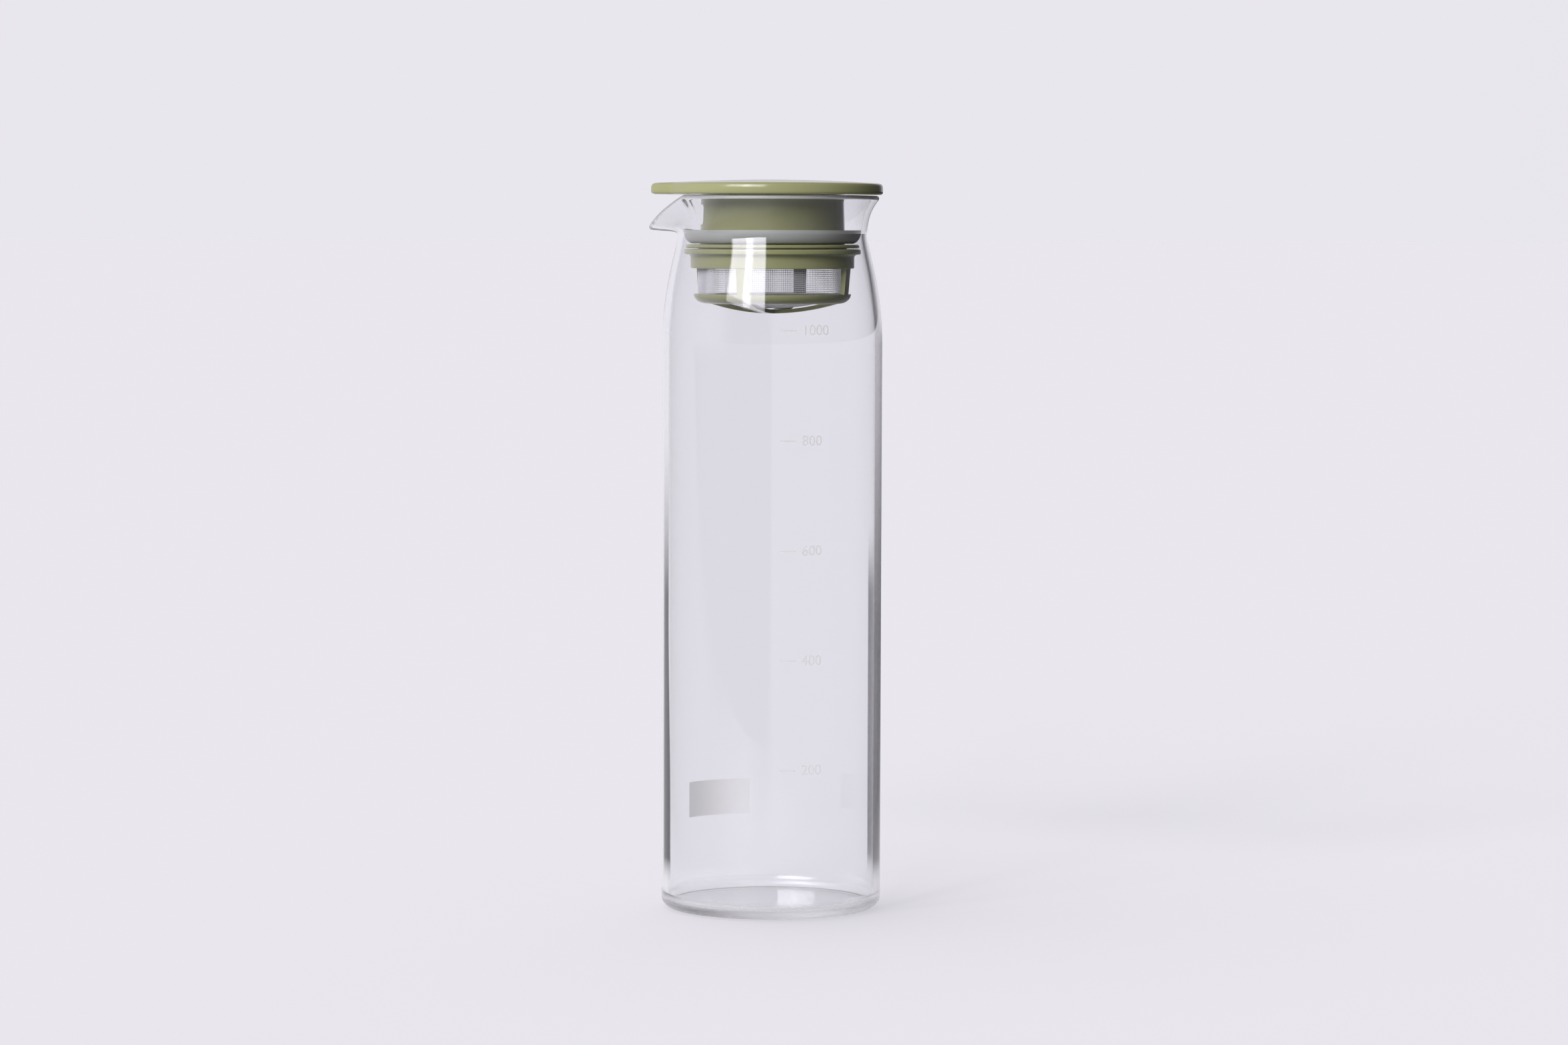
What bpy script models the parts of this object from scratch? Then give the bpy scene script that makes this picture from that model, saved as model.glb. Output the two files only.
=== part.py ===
"""Cold brew pitcher: a glass carafe, a lid with a pouring sleeve, a seal and a strainer basket.

Metres, +Z up. The origin is the centre of the carafe's base, and the spout points to -X.
"""

import math

import bmesh
import bpy
from mathutils import Matrix

# Carafe, outer sizes and walls
BODY_RADIUS = 0.0407
BODY_WALL = 0.0024
FLOOR_THICKNESS = 0.0030
BASE_CORNER_RADIUS = 0.0045
FLOOR_CORNER_RADIUS = 0.0040
NECK_RADIUS = 0.0351
NECK_WALL = 0.0020
RIM_SETBACK = 0.0013        # rim inside the straight body's line
RIM_HEIGHT = 0.2641
WAIST_DEPTH = 0.0144        # from the rim down to the narrowest part of the neck
SHOULDER_LENGTH = 0.0407    # from there down to the straight body
SHOULDER_SWELL = 0.0223     # how far the body's straight line leads into the shoulder
WAIST_SWEEP = 0.0053        # how far the neck's straight line leads down into the shoulder
FLARE_SWEEP = 0.0072        # how far the neck's straight line leads up into the flare
FLARE_LEAN = 0.0022         # outward and upward parts of the flare's direction at the rim
FLARE_RISE = 0.0030

# Spout
SPOUT_LENGTH = 0.0062       # tip past the rim
SPOUT_DROP = 0.0107
SPOUT_HALF_ANGLE = math.radians(33)
SPOUT_BEND = 0.0028         # height of the bend where the neck turns out into the spout
SPOUT_RUN = 0.0052          # how far the lip's line leads back from the tip
SPOUT_RISE = 0.0008
SPOUT_POINT = 0.06          # how blunt the tip is in plan, from 0, a sharp point
SPOUT_EASE = 1.1

# Lid
LID_OVERHANG = 0.00145      # lid edge past the rim
LID_HEIGHT = 0.0055
LID_SAG = 0.0012            # fall of the domed top from its centre to its edge rounding
LID_ROUND_WIDTH = 0.0034
LID_ROUND_HEIGHT = 0.0023
LID_BOTTOM_ROUND = 0.0010
LID_TOP_WALL = 0.0018
LID_SIDE_WALL = 0.0022
LEDGE_WIDTH = 0.0020
TAB_SETBACK = 0.00095       # tab end behind the spout's tip
TAB_HALF_WIDTH = 0.0100
TAB_BLEND = math.radians(14)
TAB_ROOT = 0.0100           # width of the lid's edge zone that runs out into the tab

# Pouring sleeve
PLATE_THICKNESS = 0.0018
SEAT_BELOW_WAIST = 0.0038
SLEEVE_SETBACK = 0.0054     # sleeve wall inside the flange's edge
SLEEVE_DRAFT = 0.0004
SLEEVE_WALL = 0.0018
SLEEVE_FILLET = 0.0018
FLANGE_THICKNESS = 0.0014
SPIGOT_SETBACK = 0.0047     # spigot wall inside the flange's edge
SPIGOT_LENGTH = 0.0052
SPIGOT_CHAMFER = 0.0005
WINDOW_WIDTH = 0.0165
WINDOW_SILL = 0.0020        # above the seal's lip
WINDOW_LINTEL = 0.0030      # below the lid's plate
WINDOW_CORNER = 0.0020

# Seal
SEAL_HEIGHT = 0.0052
SEAL_FOOT = 0.0022
SEAL_COLLAR_HEIGHT = 0.0026
SEAL_LIP = 0.0009

# Strainer
FLANGE_RING_HEIGHT = 0.0020
FLANGE_ROUND = 0.0006
COLLAR_HEIGHT = 0.0072      # flange ring and collar together
COLLAR_WALL = 0.00245
COLLAR_FILLET = 0.0014
WINDOW_RING_GAP = 0.0094    # height of the open part between collar and bottom ring
BOTTOM_RING_WALL = 0.0013
BOTTOM_RING_HEIGHT = 0.0035
BOTTOM_RING_WIDTH = 0.0045
LEDGE_DEPTH = 0.0019        # bottom ring's inner ledge below its top
PILLAR_COUNT = 4
PILLAR_WIDTH = 0.0045
PILLAR_TURN = math.radians(-21.5)
RIB_WIDTH = 0.0030
RIB_HEIGHT = 0.0014
RIB_SAG = 0.0037
RIB_EMBED = 0.0006
MESH_THICKNESS = 0.0004
MESH_LAP = 0.0009           # side mesh over the solid above and below each window

# Clearances
LID_REST_GAP = 0.0004
FIT = 0.0003
RING_CLEARANCE = 0.0009     # sleeve flange to the neck
STRAINER_CLEARANCE = 0.0004

# Facets
ROUND_STEPS = 40
SPOUT_STEPS = 9
LOFT_STEPS = 32
CURVE_STEPS = 6
CORNER_STEPS = 3
RIB_STEPS = 10
SMOOTH_ANGLE = math.radians(35)
WELD_DISTANCE = 1e-7
ROUND_BEVEL = 0.5

# Places worked out from the sizes above
RIM_RADIUS = BODY_RADIUS - RIM_SETBACK
SPOUT_REACH = RIM_RADIUS + SPOUT_LENGTH
WAIST_Z = RIM_HEIGHT - WAIST_DEPTH
SHOULDER_Z = WAIST_Z - SHOULDER_LENGTH
NECK_BORE = NECK_RADIUS - NECK_WALL
LID_RADIUS = RIM_RADIUS + LID_OVERHANG
LID_Z = RIM_HEIGHT + LID_REST_GAP
LID_TOP_Z = LID_Z + LID_HEIGHT
DOME_RADIUS = LID_RADIUS - LID_ROUND_WIDTH
TAB_REACH = SPOUT_REACH - TAB_SETBACK
CAP_BORE = LID_RADIUS - LID_SIDE_WALL
PLATE_TOP_Z = LID_Z + PLATE_THICKNESS
SEAT_Z = WAIST_Z - SEAT_BELOW_WAIST
FLANGE_RADIUS = NECK_BORE - RING_CLEARANCE
FLANGE_Z = SEAT_Z - FLANGE_THICKNESS
SLEEVE_RADIUS = FLANGE_RADIUS - SLEEVE_SETBACK
SLEEVE_BORE = SLEEVE_RADIUS - SLEEVE_DRAFT - SLEEVE_WALL
SPIGOT_RADIUS = FLANGE_RADIUS - SPIGOT_SETBACK
SEAL_Z = SEAT_Z + FIT
SEAL_TOP_Z = SEAL_Z + SEAL_HEIGHT
SEAL_RADIUS = NECK_BORE - FIT
SEAL_BORE = SLEEVE_RADIUS + FIT
STRAINER_TOP_Z = FLANGE_Z - FIT
STRAINER_RADIUS = NECK_BORE - STRAINER_CLEARANCE
STRAINER_BORE = SPIGOT_RADIUS + FIT
COLLAR_RADIUS = STRAINER_BORE + COLLAR_WALL
COLLAR_Z = STRAINER_TOP_Z - COLLAR_HEIGHT
BOTTOM_RING_RADIUS = STRAINER_BORE + BOTTOM_RING_WALL
BOTTOM_RING_TOP_Z = COLLAR_Z - WINDOW_RING_GAP
BOTTOM_RING_Z = BOTTOM_RING_TOP_Z - BOTTOM_RING_HEIGHT
BOTTOM_RING_BORE = BOTTOM_RING_RADIUS - BOTTOM_RING_WIDTH
LEDGE_Z = BOTTOM_RING_TOP_Z - LEDGE_DEPTH
RIB_END = BOTTOM_RING_BORE + RIB_EMBED
SIDE_MESH_RADIUS = STRAINER_BORE - FIT


def clear_scene():
    for item in list(bpy.data.objects):
        bpy.data.objects.remove(item, do_unlink=True)


def finish(name, color, roughness, transmission=0.0):
    """A Principled material."""
    material = bpy.data.materials.new(name)
    material.use_nodes = True
    shader = material.node_tree.nodes["Principled BSDF"]
    shader.inputs["Base Color"].default_value = (*color, 1.0)
    shader.inputs["Roughness"].default_value = roughness
    shader.inputs["Metallic"].default_value = 0.0
    shader.inputs["Transmission Weight"].default_value = transmission
    return material


def add_object(name, bm, material, parent=None):
    """A smooth-shaded object from a finished bmesh, with its origin on the pitcher's axis."""
    bmesh.ops.recalc_face_normals(bm, faces=bm.faces)
    mesh = bpy.data.meshes.new(name)
    bm.to_mesh(mesh)
    bm.free()
    mesh.shade_smooth()
    mesh.set_sharp_from_angle(angle=SMOOTH_ANGLE)
    mesh.materials.append(material)
    item = bpy.data.objects.new(name, mesh)
    bpy.context.scene.collection.objects.link(item)
    item.parent = parent
    return item


def add_cutter(name, bm, material):
    cutter = add_object(name, bm, material)
    cutter.hide_render = True
    cutter.display_type = "WIRE"
    return cutter


def boolean(target, tool, operation):
    modifier = target.modifiers.new(tool.name, "BOOLEAN")
    modifier.operation = operation
    modifier.object = tool
    modifier.solver = "EXACT"


def bezier(start, lead, follow, end, steps):
    """Points of a cubic curve, both ends included."""
    points = []
    for step in range(steps + 1):
        t = step / steps
        weights = ((1 - t) ** 3, 3 * t * (1 - t) ** 2, 3 * t * t * (1 - t), t ** 3)
        controls = (start, lead, follow, end)
        radius = sum(w * p[0] for w, p in zip(weights, controls))
        height = sum(w * p[1] for w, p in zip(weights, controls))
        points.append((radius, height))
    return points


def arc(center, radii, first, last, steps):
    """Points of an elliptical arc between two angles in degrees, both ends included."""
    points = []
    for step in range(steps + 1):
        angle = math.radians(first + (last - first) * step / steps)
        points.append((center[0] + radii[0] * math.cos(angle), center[1] + radii[1] * math.sin(angle)))
    return points


def mix(first, second, share):
    return tuple(a + (b - a) * share for a, b in zip(first, second))


def spin(profile, closed):
    """A solid of revolution about +Z. An open profile starts and ends on the axis."""
    bm = bmesh.new()
    verts = [bm.verts.new((radius, 0.0, height)) for radius, height in profile]
    edges = [bm.edges.new(pair) for pair in zip(verts, verts[1:])]
    if closed:
        edges.append(bm.edges.new((verts[-1], verts[0])))
    bmesh.ops.spin(bm, geom=verts + edges, cent=(0, 0, 0), axis=(0, 0, 1), angle=2 * math.pi,
                   steps=ROUND_STEPS, use_merge=True)
    bmesh.ops.remove_doubles(bm, verts=bm.verts, dist=WELD_DISTANCE)
    return bm


def loft_angles():
    """Angles from the spout's direction, closer together across the spout."""
    zone = SPOUT_HALF_ANGLE * (SPOUT_STEPS + 1) / SPOUT_STEPS
    fine = [zone * step / SPOUT_STEPS for step in range(-SPOUT_STEPS, SPOUT_STEPS)]
    rest = 2 * math.pi - 2 * zone
    return fine + [zone + rest * step / LOFT_STEPS for step in range(LOFT_STEPS)]


def loft(section_at):
    """A body round the axis whose section changes with the angle. Sections start and end on the axis."""
    bm = bmesh.new()
    columns = []
    poles = None
    for angle in loft_angles():
        section = section_at(angle)
        if poles is None:
            poles = [bm.verts.new((0.0, 0.0, section[index][1])) for index in (0, -1)]
        ring = [bm.verts.new((-r * math.cos(angle), -r * math.sin(angle), z)) for r, z in section[1:-1]]
        columns.append([poles[0], *ring, poles[1]])
    for column, following in zip(columns, columns[1:] + columns[:1]):
        for low in range(len(column) - 1):
            corners = (column[low], following[low], following[low + 1], column[low + 1])
            bm.faces.new(list(dict.fromkeys(corners)))
    return bm


def spout_share(angle):
    """How far the rim is drawn out into the spout: 1 at its tip, 0 past its sides."""
    turn = abs(math.remainder(angle, 2 * math.pi)) / SPOUT_HALF_ANGLE
    if turn >= 1.0:
        return 0.0
    side = (math.hypot(turn, SPOUT_POINT) - SPOUT_POINT) / (math.hypot(1.0, SPOUT_POINT) - SPOUT_POINT)
    return (1.0 - side) ** SPOUT_EASE


def flare_midline(angle):
    """Middle of the glass wall from the waist to the rim, drawn out towards the spout."""
    half = NECK_WALL / 2
    waist = (NECK_RADIUS - half, WAIST_Z)
    rim = (RIM_RADIUS - half, RIM_HEIGHT - half)
    tip = (SPOUT_REACH - half, RIM_HEIGHT - SPOUT_DROP - half)
    rim_curve = ((waist[0], WAIST_Z + FLARE_SWEEP), (rim[0] - FLARE_LEAN, rim[1] - FLARE_RISE), rim)
    tip_curve = ((waist[0], WAIST_Z + SPOUT_BEND), (tip[0] - SPOUT_RUN, tip[1] - SPOUT_RISE), tip)
    share = spout_share(angle)
    lead, follow, end = (mix(a, b, share) for a, b in zip(rim_curve, tip_curve))
    return bezier(waist, lead, follow, end, CURVE_STEPS)


def carafe_section(angle):
    """Outer wall from the base centre to the rim, and the inner wall back down to the floor."""
    half = NECK_WALL / 2
    line = flare_midline(angle)
    outer, inner = [], []
    heading = math.pi / 2
    for index in range(1, len(line)):
        before, after = line[index - 1], line[min(index + 1, len(line) - 1)]
        heading = math.atan2(after[1] - before[1], after[0] - before[0])
        across = (math.sin(heading) * half, -math.cos(heading) * half)
        outer.append((line[index][0] + across[0], line[index][1] + across[1]))
        inner.append((line[index][0] - across[0], line[index][1] - across[1]))
    lip = math.degrees(heading)
    rounding = arc(line[-1], (half, half), lip - 90, lip + 90, 2 * CORNER_STEPS)[1:-1]
    base = (BODY_RADIUS - BASE_CORNER_RADIUS, BASE_CORNER_RADIUS)
    bore = BODY_RADIUS - BODY_WALL
    floor = (bore - FLOOR_CORNER_RADIUS, FLOOR_THICKNESS + FLOOR_CORNER_RADIUS)
    return [
        (0.0, 0.0),
        *arc(base, (BASE_CORNER_RADIUS, BASE_CORNER_RADIUS), -90, 0, CORNER_STEPS),
        *shoulder(BODY_RADIUS, NECK_RADIUS),
        *outer,
        *rounding,
        *reversed(inner),
        *reversed(shoulder(bore, NECK_BORE)),
        *arc(floor, (FLOOR_CORNER_RADIUS, FLOOR_CORNER_RADIUS), 0, -90, CORNER_STEPS),
        (0.0, FLOOR_THICKNESS),
    ]


def shoulder(body, neck):
    lead = (body, SHOULDER_Z + SHOULDER_SWELL)
    follow = (neck, WAIST_Z - WAIST_SWEEP)
    return bezier((body, SHOULDER_Z), lead, follow, (neck, WAIST_Z), CURVE_STEPS)


def lid_reach(angle):
    """Radius of the lid's edge: a circle, with the square-ended tab over the spout."""
    turn = abs(math.remainder(angle, 2 * math.pi))
    tab_turn = math.atan2(TAB_HALF_WIDTH, TAB_REACH)
    share = min(max((turn - tab_turn) / TAB_BLEND, 0.0), 1.0)
    if share >= 1.0:
        return LID_RADIUS
    keep = 1.0 - share * share * (3.0 - 2.0 * share)
    return LID_RADIUS + (TAB_REACH / math.cos(turn) - LID_RADIUS) * keep


def dome(radius):
    return LID_TOP_Z - LID_SAG * (radius / DOME_RADIUS) ** 2


def cap_section(angle):
    """Domed top and edge of the lid, then the hollow that takes the sleeve's plate."""
    top = [(DOME_RADIUS * step / CORNER_STEPS, dome(DOME_RADIUS * step / CORNER_STEPS))
           for step in range(CORNER_STEPS)]
    shoulder_z = dome(DOME_RADIUS)
    rounding = arc((DOME_RADIUS, shoulder_z - LID_ROUND_HEIGHT), (LID_ROUND_WIDTH, LID_ROUND_HEIGHT),
                   90, 0, CORNER_STEPS + 1)
    edge = arc((LID_RADIUS - LID_BOTTOM_ROUND, LID_Z + LID_BOTTOM_ROUND),
               (LID_BOTTOM_ROUND, LID_BOTTOM_ROUND), 0, -90, CORNER_STEPS)
    stretch = lid_reach(angle) - LID_RADIUS
    outer = []
    for radius, height in top + rounding + edge:
        share = max((radius - LID_RADIUS + TAB_ROOT) / TAB_ROOT, 0.0)
        outer.append((radius + stretch * share, height))
    ledge = CAP_BORE - LEDGE_WIDTH
    ledge_z = PLATE_TOP_Z + FIT
    return [
        *outer,
        (CAP_BORE, LID_Z),
        (CAP_BORE, ledge_z),
        (ledge, ledge_z),
        (ledge, dome(ledge) - LID_TOP_WALL),
        (ledge / 2, dome(ledge / 2) - LID_TOP_WALL),
        (0.0, LID_TOP_Z - LID_TOP_WALL),
    ]


def sleeve_profile():
    """Plate, tube, seal flange and spigot, from the plate's centre round to the roof of the bore."""
    top = SLEEVE_RADIUS - SLEEVE_DRAFT
    fillet = arc((top + SLEEVE_FILLET, LID_Z - SLEEVE_FILLET), (SLEEVE_FILLET, SLEEVE_FILLET),
                 90, 180, CORNER_STEPS)
    half = FLANGE_THICKNESS / 2
    flange = arc((FLANGE_RADIUS - half, SEAT_Z - half), (half, half), 90, -90, 2 * CORNER_STEPS)
    spigot_z = FLANGE_Z - SPIGOT_LENGTH
    return [
        (0.0, PLATE_TOP_Z),
        (CAP_BORE - FIT, PLATE_TOP_Z),
        (CAP_BORE - FIT, LID_Z),
        *fillet,
        (SLEEVE_RADIUS, SEAT_Z),
        *flange,
        (SPIGOT_RADIUS, FLANGE_Z),
        (SPIGOT_RADIUS, spigot_z + SPIGOT_CHAMFER),
        (SPIGOT_RADIUS - SPIGOT_CHAMFER, spigot_z),
        (SLEEVE_BORE, spigot_z),
        (SLEEVE_BORE, LID_Z),
        (0.0, LID_Z),
    ]


def pour_window():
    """Round-cornered block through the sleeve's wall on the spout's side."""
    bm = bmesh.new()
    low = SEAL_TOP_Z + WINDOW_SILL
    high = LID_Z - WINDOW_LINTEL
    depth = SLEEVE_RADIUS
    bmesh.ops.create_cube(bm, size=1.0)
    bmesh.ops.scale(bm, verts=bm.verts, vec=(depth, WINDOW_WIDTH, high - low))
    bmesh.ops.translate(bm, verts=bm.verts, vec=(-SLEEVE_RADIUS, 0.0, (low + high) / 2))
    long_edges = [edge for edge in bm.edges
                  if abs(edge.verts[0].co.x - edge.verts[1].co.x) > depth / 2]
    bmesh.ops.bevel(bm, geom=long_edges, offset=WINDOW_CORNER, segments=CORNER_STEPS, affect="EDGES",
                    profile=ROUND_BEVEL)
    return bm


def seal_profile():
    """Collar round the sleeve, and the cup-shaped lip that closes the neck."""
    foot = SEAL_BORE + SEAL_FOOT
    reach = SEAL_RADIUS - foot
    collar_z = SEAL_Z + SEAL_COLLAR_HEIGHT
    outer = arc((foot, SEAL_TOP_Z), (reach, SEAL_HEIGHT), -90, 0, CURVE_STEPS)
    inner = arc((foot, SEAL_TOP_Z), (reach - SEAL_LIP, SEAL_TOP_Z - collar_z), 0, -90, CURVE_STEPS)
    return [(SEAL_BORE, SEAL_Z), *outer, *inner, (SEAL_BORE, collar_z)]


def frame_profile():
    """Flange ring, collar, tapering wall and bottom ring with its inner ledge."""
    ring_z = STRAINER_TOP_Z - FLANGE_RING_HEIGHT
    corner = STRAINER_RADIUS - FLANGE_ROUND
    upper = arc((corner, STRAINER_TOP_Z - FLANGE_ROUND), (FLANGE_ROUND, FLANGE_ROUND), 90, 0, CORNER_STEPS)
    lower = arc((corner, ring_z + FLANGE_ROUND), (FLANGE_ROUND, FLANGE_ROUND), 0, -90, CORNER_STEPS)
    hollow = arc((COLLAR_RADIUS + COLLAR_FILLET, ring_z - COLLAR_FILLET), (COLLAR_FILLET, COLLAR_FILLET),
                 90, 180, CORNER_STEPS)
    belly = arc((BOTTOM_RING_BORE, BOTTOM_RING_TOP_Z), (BOTTOM_RING_WIDTH, BOTTOM_RING_HEIGHT),
                0, -90, CURVE_STEPS)
    return [
        (STRAINER_BORE, STRAINER_TOP_Z),
        *upper,
        *lower,
        *hollow,
        (COLLAR_RADIUS, COLLAR_Z),
        *belly,
        (BOTTOM_RING_BORE, LEDGE_Z),
        (STRAINER_BORE, LEDGE_Z),
    ]


def side_window(number):
    """Block that opens the basket's wall between two pillars."""
    bm = bmesh.new()
    bmesh.ops.create_cube(bm, size=1.0)
    reach = STRAINER_RADIUS
    bmesh.ops.scale(bm, verts=bm.verts, vec=(reach, reach, WINDOW_RING_GAP))
    near = (PILLAR_WIDTH + reach) / 2
    bmesh.ops.translate(bm, verts=bm.verts, vec=(near, near, BOTTOM_RING_TOP_Z + WINDOW_RING_GAP / 2))
    turn = PILLAR_TURN + 2 * math.pi * number / PILLAR_COUNT
    bmesh.ops.rotate(bm, verts=bm.verts, cent=(0, 0, 0), matrix=Matrix.Rotation(turn, 3, "Z"))
    return bm


def rib_top(radius):
    return LEDGE_Z - FIT / 2 - RIB_SAG * (1.0 - (radius / RIB_END) ** 2)


def cross_rib(number):
    """Domed bar across the bottom ring, under two opposite pillars."""
    bm = bmesh.new()
    stations = [RIB_END * (2 * step / RIB_STEPS - 1) for step in range(RIB_STEPS + 1)]
    outline = [(x, rib_top(x)) for x in stations] + [(x, rib_top(x) - RIB_HEIGHT) for x in reversed(stations)]
    face = bm.faces.new([bm.verts.new((x, -RIB_WIDTH / 2, z)) for x, z in outline])
    swept = bmesh.ops.extrude_face_region(bm, geom=[face])
    moved = [item for item in swept["geom"] if isinstance(item, bmesh.types.BMVert)]
    bmesh.ops.translate(bm, verts=moved, vec=(0.0, RIB_WIDTH, 0.0))
    turn = PILLAR_TURN + 2 * math.pi * number / PILLAR_COUNT
    bmesh.ops.rotate(bm, verts=bm.verts, cent=(0, 0, 0), matrix=Matrix.Rotation(turn, 3, "Z"))
    return bm


def side_mesh_profile():
    low = BOTTOM_RING_TOP_Z - MESH_LAP
    high = COLLAR_Z + MESH_LAP
    bore = SIDE_MESH_RADIUS - MESH_THICKNESS
    return [(bore, low), (SIDE_MESH_RADIUS, low), (SIDE_MESH_RADIUS, high), (bore, high)]


def base_mesh_profile():
    """Domed disc just above the ribs, with a flat brim on the bottom ring's ledge."""
    edge = BOTTOM_RING_BORE - FIT
    edge_z = LEDGE_Z + FIT
    stations = [edge * step / CURVE_STEPS for step in range(CURVE_STEPS + 1)]
    under = [(radius, edge_z - RIB_SAG * (1.0 - (radius / edge) ** 2)) for radius in stations]
    under.append((STRAINER_BORE - FIT, edge_z))
    over = [(radius, height + MESH_THICKNESS) for radius, height in reversed(under)]
    return under + over


def build():
    clear_scene()
    glass = finish("clear_glass", (0.95, 0.97, 0.96), 0.02, transmission=1.0)
    green = finish("sage_plastic", (0.30, 0.31, 0.12), 0.32)
    silicone = finish("grey_silicone", (0.42, 0.44, 0.42), 0.45)
    net = finish("woven_mesh", (0.70, 0.70, 0.73), 0.60)

    carafe = add_object("glass_carafe", loft(carafe_section), glass)
    seal = add_object("seal_ring", spin(seal_profile(), closed=True), silicone, parent=carafe)
    sleeve = add_object("pouring_sleeve", spin(sleeve_profile(), closed=False), green, parent=seal)
    boolean(sleeve, add_cutter("pour_window", pour_window(), green), "DIFFERENCE")
    add_object("lid_cap", loft(cap_section), green, parent=sleeve)

    frame = add_object("strainer_frame", spin(frame_profile(), closed=True), green, parent=sleeve)
    for number in range(PILLAR_COUNT):
        boolean(frame, add_cutter(f"side_window_{number}", side_window(number), green), "DIFFERENCE")
    for number in range(PILLAR_COUNT // 2):
        boolean(frame, add_cutter(f"cross_rib_{number}", cross_rib(number), green), "UNION")
    add_object("strainer_side_mesh", spin(side_mesh_profile(), closed=True), net, parent=frame)
    add_object("strainer_base_mesh", spin(base_mesh_profile(), closed=False), net, parent=frame)


build()
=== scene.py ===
"""Looks of the cold brew pitcher: glass, plastic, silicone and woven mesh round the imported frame.

Metres, +Z up, in the frame of the solids. The spout points to -X and the camera looks along +Y.
"""

import math

import bmesh
import bpy
from mathutils import Matrix, Vector


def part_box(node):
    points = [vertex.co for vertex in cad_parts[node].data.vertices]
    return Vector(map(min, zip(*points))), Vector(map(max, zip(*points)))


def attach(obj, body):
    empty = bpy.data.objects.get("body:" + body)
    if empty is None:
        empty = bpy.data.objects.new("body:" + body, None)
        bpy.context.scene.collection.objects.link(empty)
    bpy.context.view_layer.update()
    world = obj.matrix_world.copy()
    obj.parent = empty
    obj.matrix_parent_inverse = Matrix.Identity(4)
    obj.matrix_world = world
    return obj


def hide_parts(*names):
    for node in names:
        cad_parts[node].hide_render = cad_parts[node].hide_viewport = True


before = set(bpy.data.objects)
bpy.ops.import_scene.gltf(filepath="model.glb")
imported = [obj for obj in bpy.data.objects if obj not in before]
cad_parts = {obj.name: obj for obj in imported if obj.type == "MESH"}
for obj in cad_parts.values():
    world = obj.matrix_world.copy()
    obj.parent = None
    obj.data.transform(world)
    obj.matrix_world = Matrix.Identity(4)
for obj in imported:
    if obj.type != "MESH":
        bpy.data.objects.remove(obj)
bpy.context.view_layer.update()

GLASS_LOW, GLASS_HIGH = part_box("glass_carafe")
LID_LOW, LID_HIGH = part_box("lid_cap")
SLEEVE_LOW, SLEEVE_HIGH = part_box("pouring_sleeve")
SEAL_LOW, SEAL_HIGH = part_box("seal_ring")
BASKET_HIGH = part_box("strainer_frame")[1]
BAND_LOW, BAND_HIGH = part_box("strainer_side_mesh")

# Carafe
BODY_RADIUS = GLASS_HIGH.x
SPOUT_REACH = -GLASS_LOW.x
RIM_HEIGHT = GLASS_HIGH.z
BODY_WALL = 0.0024
FLOOR_THICKNESS = 0.0030
BASE_CORNER_RADIUS = 0.0045
FLOOR_CORNER_RADIUS = 0.0040
NECK_RADIUS = 0.0351
NECK_WALL = 0.0020
NECK_BORE = NECK_RADIUS - NECK_WALL
RIM_RADIUS = BODY_RADIUS - 0.0013
WAIST_Z = RIM_HEIGHT - 0.0144
SHOULDER_Z = WAIST_Z - 0.0407
SHOULDER_SWELL = 0.0223
WAIST_SWEEP = 0.0053
FLARE_SWEEP = 0.0072
FLARE_LEAN = 0.0022
FLARE_RISE = 0.0030
SPOUT_DROP = 0.0107
SPOUT_HALF_ANGLE = math.radians(33)
SPOUT_BEND = 0.0028
SPOUT_RUN = 0.0052
SPOUT_RISE = 0.0008
SPOUT_POINT = 0.06
SPOUT_EASE = 1.1

# Glass: how matt its parts are, and how much light still passes the matt ones
LIP_MATT = 1.0
BASE_MATT = 0.7
FLOOR_MATT = 0.35
MATT_ROUGHNESS = 0.45
MATT_CLEARNESS = 0.72
GLASS_IOR = 1.47
GLASS_CLEAR = (0.975, 0.978, 0.985)
# Painted shade: the dark colour that the glass's edges are blended to where they are seen edge on
GLASS_PAINTED_SHADE = (0.005, 0.005, 0.006)
SHADOW_CLEAR = (0.98, 0.98, 0.985)
SHADOW_DARK = (0.60, 0.60, 0.62)

# Painted shade on the glass edges, as ramps: a lower and an upper value, and what they give
EDGE_START = (0.640, 0.665, 0.0, 1.0)
EDGE_END = (0.90, 0.98, 1.0, 0.0)
EDGE_FOOT = (0.010, 0.020, 0.0, 1.0)
EDGE_TOP = (0.212, 0.230, 1.0, 0.1)
LIT_SIDE = (-0.010, 0.010, 1.0, 0.0)
FAR_SIDE = (-0.010, 0.010, 0.0, 1.0)
LIT_OUTER_EDGE = (0.115, 0.185, 1.0, 0.05)
FAR_OUTER_EDGE = (0.100, 0.235, 0.89, 0.42)
FAR_INNER_EDGE = (0.115, 0.145, 0.95, 0.0)
LIT_WIDENING = (0.040, 0.110, 0.04, 0.0)
LIT_RIM_SHIFT = 0.13

# Lid and sleeve
LID_RADIUS = LID_HIGH.x
TAB_REACH = -LID_LOW.x
LID_Z = LID_LOW.z
LID_TOP_Z = LID_HIGH.z
LID_SAG = 0.0012
LID_ROUND_WIDTH = 0.0034
LID_SIDE_Z = LID_LOW.z + 0.0015
LID_SIDE_RISE = 0.00275
LID_CORNER = 0.0005
LID_BOTTOM_ROUND = 0.0010
LID_TOP_WALL = 0.0018
LID_SIDE_WALL = 0.0022
LEDGE_WIDTH = 0.0020
TAB_HALF_WIDTH = 0.0100
TAB_BLEND = math.radians(14)
TAB_ROOT = 0.0100
DOME_RADIUS = LID_RADIUS - LID_ROUND_WIDTH
CAP_BORE = LID_RADIUS - LID_SIDE_WALL
PLATE_RADIUS = SLEEVE_HIGH.x
PLATE_TOP_Z = SLEEVE_HIGH.z
SPIGOT_Z = SLEEVE_LOW.z
FIT = 0.0003
FLANGE_THICKNESS = 0.0014
SEAT_Z = SEAL_LOW.z - FIT
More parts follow.
